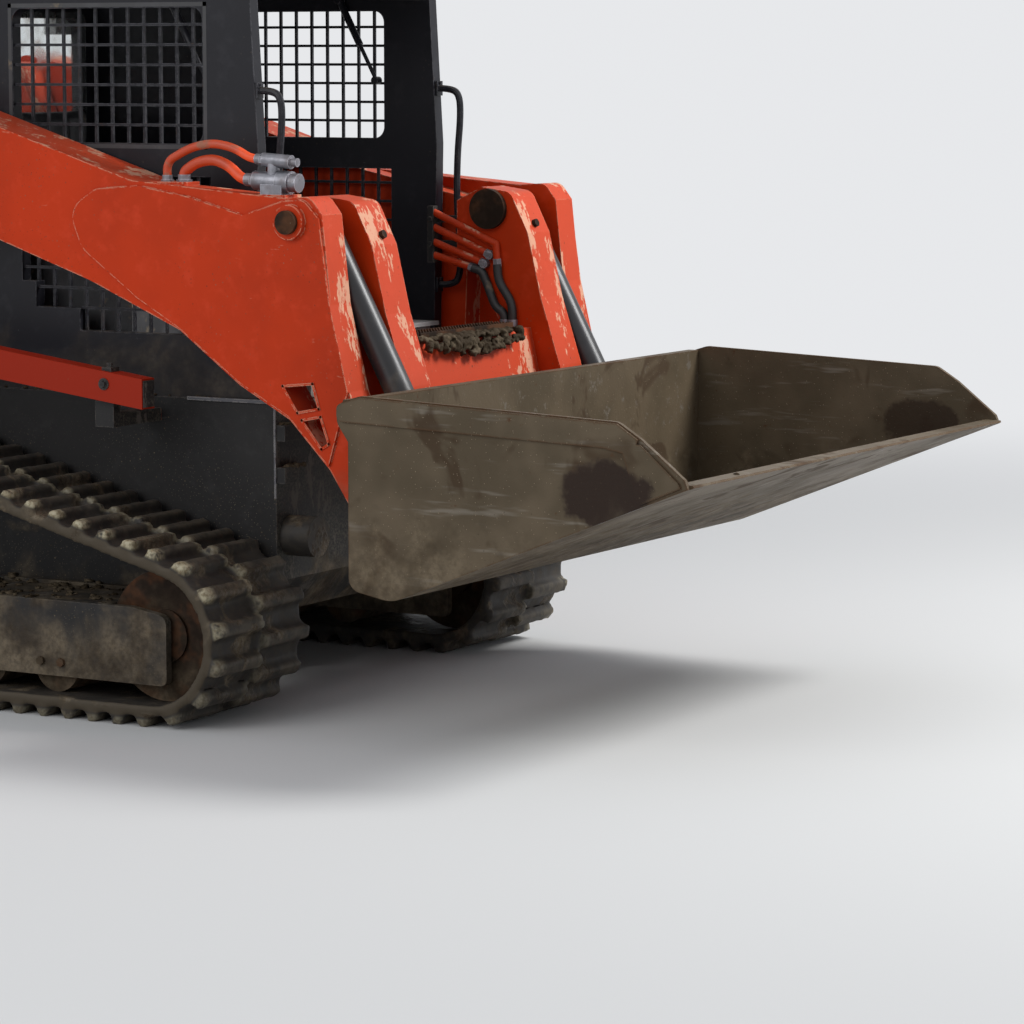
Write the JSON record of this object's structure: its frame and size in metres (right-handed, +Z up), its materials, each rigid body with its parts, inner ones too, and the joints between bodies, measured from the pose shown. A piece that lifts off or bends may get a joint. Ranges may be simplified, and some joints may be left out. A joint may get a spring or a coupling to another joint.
{
  "type": "compact track loader",
  "caption": "Compact track loader on rubber tracks, with an open cab, radius-lift arms, hydraulic cylinders and a rolled-back bucket.",
  "frame": {"origin": "on the ground, midway between the bucket edge and the rear bumper, on the middle plane", "axes": "+X forward, +Y to the operator's left, +Z up"},
  "size_m": [3.7, 2.032, 2.14],
  "materials": {
    "arm_paint": "orange enamel, chipped and muddy",
    "dark_paint": "charcoal enamel with mud spatter",
    "cab_paint": "black satin enamel",
    "sill_plate": "pale grey worn plate",
    "bucket_steel": "olive grey steel, scoured and muddy",
    "track_rubber": "black rubber caked with mud",
    "worn_steel": "muddy cast steel",
    "barrel_paint": "black cylinder enamel",
    "rod_chrome": "hard chrome rod",
    "coupler_steel": "plated steel couplers",
    "seat_vinyl": "black seat vinyl",
    "cab_plastic": "dark moulded plastic",
    "window_glass": "clear glass, dusty",
    "hose_orange": "orange hose cover, dusty",
    "hose_black": "black hose cover, muddy",
    "lamp_clear": "clear lamp lens",
    "lamp_lens": "red lens"
  },
  "bodies": {
    "chassis": {"chassis_tub": "dark_paint", "tower_left": "arm_paint", "tower_right": "arm_paint", "engine_block": "worn_steel", "rear_bumper": "dark_paint", "tail_lamps": "lamp_lens", "side_rails": "arm_paint", "front_buffers": "track_rubber", "front_steps": "dark_paint", "cab_sill": "sill_plate", "track_frame_left": "dark_paint", "track_frame_right": "dark_paint", "track_left": "track_rubber", "track_right": "track_rubber", "rollers": "worn_steel", "idlers": "worn_steel", "drive_sprockets": "dark_paint", "cab_side_left": "cab_paint", "cab_side_right": "cab_paint", "cab_roof": "cab_paint", "cab_rear_wall": "cab_paint", "cab_floor": "dark_paint", "cab_header": "dark_paint", "window_screen_left": "cab_paint", "window_screen_right": "cab_paint", "lower_screens": "cab_paint", "grab_handles": "cab_paint", "window_struts": "cab_paint", "work_lamps": "lamp_clear", "rear_glass": "window_glass", "pivot_caps": "worn_steel", "seat_base": "cab_plastic", "seat_cushion": "seat_vinyl", "seat_back": "seat_vinyl", "consoles": "cab_plastic", "door_hinges": "dark_paint", "hood_hinges": "dark_paint"},
    "boom": {"boom_left": "arm_paint", "boom_right": "arm_paint", "boom_cross": "arm_paint", "step_tread": "worn_steel", "aux_couplers": "coupler_steel", "boom_tubes": "arm_paint", "pin_caps": "worn_steel", "coupler_hoses": "hose_orange", "arm_hoses": "hose_black"},
    "bucket": {"coupler": "bucket_steel", "bucket_shell": "bucket_steel", "bucket_cheeks": "bucket_steel", "cutting_edge": "bucket_steel"},
    "lift_barrels": {"lift_barrels": "barrel_paint"},
    "lift_rods": {"lift_rods": "rod_chrome"},
    "tilt_barrels": {"tilt_barrels": "barrel_paint"},
    "tilt_rods": {"tilt_rods": "rod_chrome"},
    "rear_door": {"rear_door": "dark_paint"},
    "engine_hood": {"engine_hood": "dark_paint"},
    "lap_bar": {"lap_bar": "barrel_paint"}
  },
  "joints": [
    {"name": "boom_lift", "type": "hinge", "parent": "chassis", "child": "boom", "pos_m": [-1.41, 0, 1.73], "axis": [0, -1, 0], "range_deg": [-10, 60]},
    {"name": "bucket_tilt", "type": "hinge", "parent": "boom", "child": "bucket", "pos_m": [0.74, 0, 0.54], "axis": [0, 1, 0], "range_deg": [0, 115]},
    {"name": "lift_barrel_swing", "type": "hinge", "parent": "chassis", "child": "lift_barrels", "pos_m": [-1.6, 0, 0.96], "axis": [0, -1, 0], "range_deg": [-4.5, 25.6]},
    {"name": "lift_rod_slide", "type": "slide", "parent": "lift_barrels", "child": "lift_rods", "axis": [0.8799, 0, 0.4751], "range_m": [-0.082, 0.48]},
    {"name": "tilt_barrel_swing", "type": "hinge", "parent": "boom", "child": "tilt_barrels", "pos_m": [0.458, 0, 1.389], "axis": [0, -1, 0], "range_deg": [-1, 1]},
    {"name": "tilt_rod_slide", "type": "slide", "parent": "tilt_barrels", "child": "tilt_rods", "axis": [0.4734, 0, -0.8808], "range_m": [0, 0.475]},
    {"name": "rear_door_swing", "type": "hinge", "parent": "chassis", "child": "rear_door", "pos_m": [-1.82, 0.4, 0.9], "axis": [0, 0, -1], "range_deg": [0, 110]},
    {"name": "engine_hood_lift", "type": "hinge", "parent": "chassis", "child": "engine_hood", "pos_m": [-1.114, 0, 1.613], "axis": [0, 1, 0], "range_deg": [0, 60]},
    {"name": "lap_bar_raise", "type": "hinge", "parent": "chassis", "child": "lap_bar", "pos_m": [-0.985, 0, 1.45], "axis": [0, -1, 0], "range_deg": [0, 50]}
  ],
  "couplings": [
    {"joint": "lift_barrel_swing", "follows": "boom_lift", "ratio": 0.42317},
    {"joint": "lift_rod_slide", "follows": "boom_lift", "m_per_rad": 0.45584},
    {"joint": "tilt_barrel_swing", "follows": "bucket_tilt", "ratio": -0.002779},
    {"joint": "tilt_rod_slide", "follows": "bucket_tilt", "m_per_rad": 0.2353}
  ]
}
